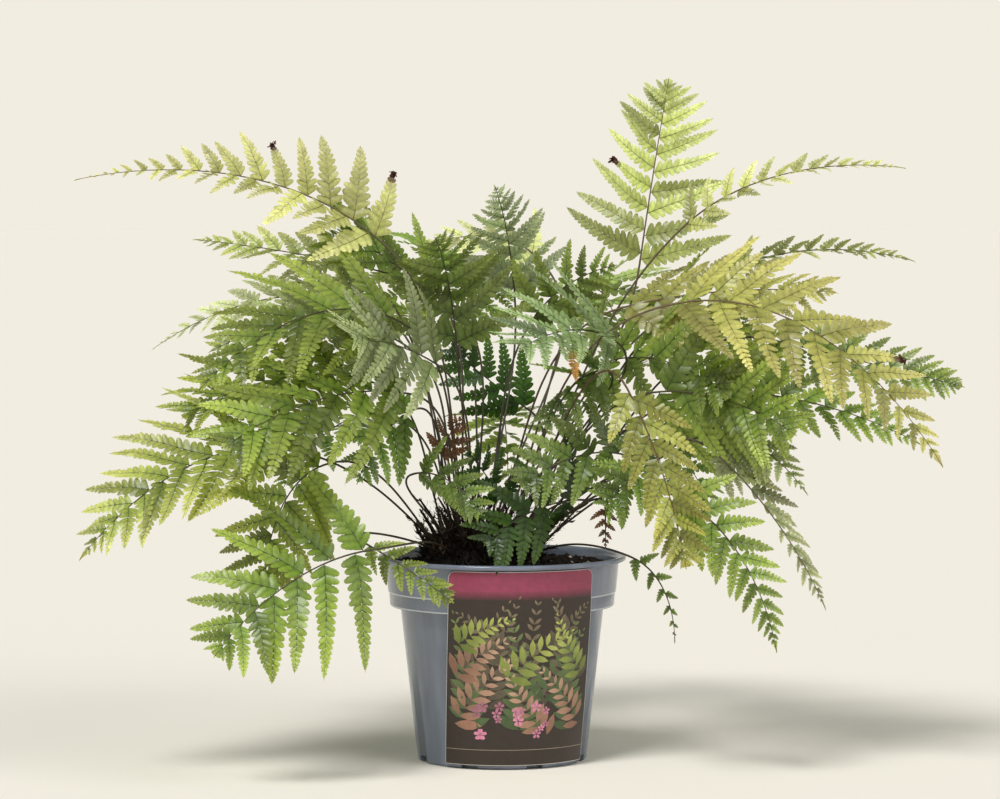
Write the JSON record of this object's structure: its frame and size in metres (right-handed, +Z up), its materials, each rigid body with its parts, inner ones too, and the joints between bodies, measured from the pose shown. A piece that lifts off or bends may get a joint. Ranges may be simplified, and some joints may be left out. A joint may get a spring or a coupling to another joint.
{
  "type": "potted autumn fern",
  "caption": "Autumn fern with arching, finely cut green, golden and yellow-green fronds in a grey round nursery pot with a printed plant card.",
  "frame": {"origin": "middle of the pot's flat foot, on the surface that the pot stands on", "axes": "+Z up along the pot's axis, +X along the plant's widest spread, the card faces -Y"},
  "size_m": [0.6026, 0.4272, 0.4684],
  "materials": {
    "pot_plastic": "satin slate-grey moulded plastic",
    "card_print": "printed semi-gloss card, dark fern print under a magenta band",
    "soil_peat": "matte dark peat crumbs",
    "crown_scales": "matte dark brown scales and fibres",
    "leaf_young": "satin yellow-green leaf",
    "leaf_mature": "satin deep green leaf",
    "leaf_gold": "satin golden leaf",
    "leaf_old": "dull brown-yellow leaf"
  },
  "bodies": {
    "root": {"pot": "pot_plastic", "label_card": "card_print", "soil": "soil_peat", "crown": "crown_scales", "frond_left_crest": "leaf_young", "frond_left_back": "leaf_mature", "frond_left_pale": "leaf_young", "frond_left_olive": "leaf_mature", "frond_left_mid": "leaf_mature", "frond_left_comb": "leaf_mature", "frond_left_front": "leaf_mature", "frond_left_long": "leaf_mature", "frond_left_drop": "leaf_mature", "frond_left_low": "leaf_mature", "frond_left_lip": "leaf_mature", "frond_left_mass": "leaf_mature", "frond_left_inner": "leaf_mature", "frond_mid_crest": "leaf_mature", "frond_mid_arch": "leaf_young", "frond_mid_face": "leaf_mature", "frond_mid_left": "leaf_mature", "frond_mid_right": "leaf_mature", "frond_mid_shade": "leaf_mature", "frond_mid_inner": "leaf_mature", "frond_mid_small": "leaf_mature", "frond_mid_new": "leaf_old", "frond_mid_low": "leaf_mature", "frond_right_crest": "leaf_young", "frond_right_edge": "leaf_young", "frond_right_back": "leaf_young", "frond_right_gold": "leaf_gold", "frond_right_high": "leaf_gold", "frond_right_far": "leaf_mature", "frond_right_hang": "leaf_mature", "frond_right_long": "leaf_mature", "frond_right_old": "leaf_old", "frond_right_weak": "leaf_mature", "frond_right_inner": "leaf_mature", "frond_right_low": "leaf_mature", "frond_right_lip": "leaf_mature", "frond_right_dead": "leaf_old", "frond_right_silver": "leaf_mature", "frond_right_green": "leaf_mature", "frond_right_wide": "leaf_mature", "frond_right_under": "leaf_mature", "frond_right_mass": "leaf_mature", "frond_right_shade": "leaf_mature", "frond_back_left": "leaf_mature", "frond_back_mid": "leaf_mature", "frond_back_right": "leaf_young", "frond_back_far_right": "leaf_mature", "frond_back_low_left": "leaf_mature", "frond_back_low_mid": "leaf_mature", "frond_back_low_right": "leaf_mature"}
  },
  "joints": []
}
